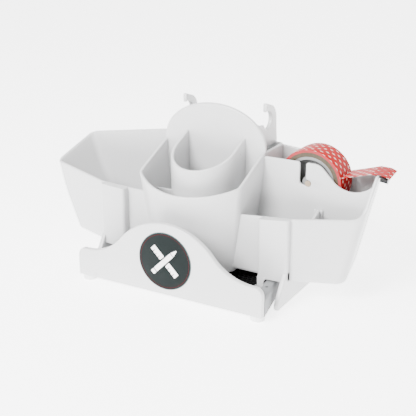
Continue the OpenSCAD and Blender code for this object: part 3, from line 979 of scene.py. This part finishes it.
divider = {"z": (23.25, 74), "back": 79.7, "headFront": 77.9, "headX": (96.6, 104.6), "middle": 100.6,
           "half": 1.2, "clear": 2.75 + 0.3, "edge": 0.8}


def dividerParts(d):
    # a web turned like the end walls, with a flat head against the tape wall
    def front(x):
        return tray["front"] + d["clear"] + tray["sweep"] * (x - tray["sweepFrom"])

    back, mid, half = d["back"], d["middle"], d["half"]
    x = mid + tray["toeIn"] * (back - front(mid)) / (1 + tray["toeIn"] * tray["sweep"])
    x0, x1 = d["headX"]
    web = rounded([(mid - half, back), (x - half, front(x - half)), (x + half, front(x + half)),
                   (mid + half, back)], 0.9, 4)
    head = rounded([(x0, d["headFront"]), (x1, d["headFront"]), (x1, back), (x0, back)], 0.85, 5)
    return [plate(shape, *d["z"], d["edge"], "xy") for shape in (web, head)]


makePiece("divider_tee", dividerParts(divider), [whitePlastic], "divider", ["pocket_divider"])
print("bins and legs ready")

strip = {"route": ((117.6, 102.4), (128, 105.4), (138.4, 108.5), (141, 109.35), (146, 109.5),
                   (151.8, 109.45), (157.5, 107.6)),
         "thick": 0.3, "skew": 0.0875}


def windingParts(r):
    # the roll's outside carries the print round it; its flat sides show the layers
    steps = 180
    a = np.linspace(0, tau, steps + 1)[:, None]
    s = np.linspace(0, 1, 9)[None]
    ring = r["radius"] - 0.25 * np.abs(2 * s - 1) ** 12
    x, z = r["x"] + ring * np.cos(a), r["z"] + ring * np.sin(a)
    depth = r["front"] + s * r["width"]
    outside = np.stack([x, np.broadcast_to(depth, x.shape), z], -1)
    turns = round(tau * r["radius"] / r["diamondLong"])
    uv = np.stack(np.broadcast_arrays(a / tau * turns, s * r["width"] / r["diamondWide"]), -1)
    bore = r["coreOuter"]
    inside = np.stack(np.broadcast_arrays(r["x"] + bore * np.cos(a), depth[:, ::-1],
                                          r["z"] + bore * np.sin(a)), -1)
    sheets = [loft(outside, capped=False, closedColumns=False, uv=uv),
              loft(inside, capped=False, closedColumns=False)]
    for row, edge in ((0, -1), (-1, 0)):
        k = np.linspace(0, 1, 4)[None, :, None]
        side = outside[:, row][:, None] * (1 - k) + inside[:, edge][:, None] * k
        sheets.append(loft(side, capped=False, closedColumns=False))
    return sheets


def joined(parts):
    # several open sheets as one closed part, so that its volume can be signed
    points = np.concatenate([p["points"] for p in parts])
    starts = np.cumsum([0] + [len(p["points"]) for p in parts[:-1]])
    quads = np.concatenate([p["quads"] + s for p, s in zip(parts, starts)])
    uv = np.concatenate([p["uv"] if p["uv"] is not None else np.zeros((len(p["points"]), 2)) for p in parts])
    return {"points": points, "quads": quads, "caps": [], "uv": uv}


def makeRoll(r):
    item = makePiece("tape_roll_print", [joined(windingParts(r))], [tapePrint, tapeSide], "tape_roll",
                     ["tape_winding"])
    # consistent facing, then the flat sides and the bore take the layered finish
    work = bmesh.new()
    work.from_mesh(item.data)
    bmesh.ops.recalc_face_normals(work, faces=work.faces)
    work.to_mesh(item.data)
    work.free()
    normals = np.empty(len(item.data.polygons) * 3)
    centres = np.empty(len(item.data.polygons) * 3)
    item.data.polygons.foreach_get("normal", normals)
    item.data.polygons.foreach_get("center", centres)
    away = centres.reshape(-1, 3) - placed((r["x"], 0, r["z"]))
    radius = np.hypot(away[:, 0], away[:, 2]) / mm
    flat = (np.abs(normals.reshape(-1, 3)[:, 1]) > 0.7) | (radius < r["coreOuter"] + 0.5)
    item.data.polygons.foreach_set("material_index", flat.astype(np.int32))
    item.data.set_sharp_from_angle(angle=math.radians(35))


makeRoll(roll)


def stripPart(s, r):
    # the drawn tape: a thin ribbon along the route, with the print running on in its UV map
    route = np.array(s["route"], float)
    t = np.linspace(0, len(route) - 1, 60)
    line = np.column_stack([np.interp(t, np.arange(len(route)), route[:, i]) for i in (0, 1)])
    smooth = line.copy()
    for _ in range(6):
        smooth[1:-1] = (smooth[:-2] + 2 * smooth[1:-1] + smooth[2:]) / 4
    run = np.concatenate([[0], np.cumsum(np.linalg.norm(np.diff(smooth, axis=0), axis=1))])
    across = np.linspace(0, r["width"], 12)
    last = (run / run[-1])[:, None] ** 3
    x = smooth[:, :1] - last * s["skew"] * across[None]
    y = np.broadcast_to(r["front"] + across[None], x.shape)
    z = np.broadcast_to(smooth[:, 1:], x.shape) + 0.05
    top = np.stack([x, y, z + s["thick"]], -1)
    low = np.stack([x, y, z], -1)
    uvTop = np.stack(np.broadcast_arrays(run[:, None] / r["diamondLong"],
                                         across[None] / r["diamondWide"]), -1)
    return loft(np.concatenate([top, low[:, ::-1]], 1), uv=np.concatenate([uvTop, uvTop[:, ::-1]], 1))


barLow, barHigh = (placed((x, 0, 0))[0] for x in (144.0, 152.5))
tapeOverBar = diamondTape("printed tape over the bar", (barLow, barHigh))
makePiece("drawn_tape", [stripPart(strip, roll)], [tapeOverBar], "tray", ["tape_strip"])
for name, material in (("tape_core", kraftCard), ("tape_hub", finish["hub plastic"]),
                       ("tape_spindle", finish["spindle plastic"]), ("cutter_bar", finish["black plastic"]),
                       ("cutter_blade", bladeSteel)):
    finishNode(name, material)
print("tape ready")


floor = {"half": 6.0, "near": -4.0, "far": 6.0, "riseFrom": 3.0, "rise": 0.35, "glow": 3.4}


def makeFloor(f):
    # a wide pale floor in metres that curves up far behind, as one sheet: it rises with the
    # square of the distance past riseFrom
    y = np.linspace(f["near"], f["far"], 60)
    z = np.where(y > f["riseFrom"], (y - f["riseFrom"]) ** 2 * f["rise"], 0.0)
    x = np.array([-f["half"], f["half"]])
    grid = np.stack(np.broadcast_arrays(x[None], y[:, None], z[:, None]), -1)
    mesh = bpy.data.meshes.new("floor")
    mesh.from_pydata(grid.reshape(-1, 3).tolist(), [], gridFaces(60, 2, closedColumns=False).tolist())
    m = Recipe("floor", (0.93, 0.93, 0.93), 0.6)
    m.set("Specular IOR Level", 0.1)
    m.set("Emission Color", (1, 1, 1, 1))
    m.set("Emission Strength", f["glow"])
    mesh.materials.append(m.material)
    item = bpy.data.objects.new("floor", mesh)
    stageGroup.objects.link(item)


makeFloor(floor)
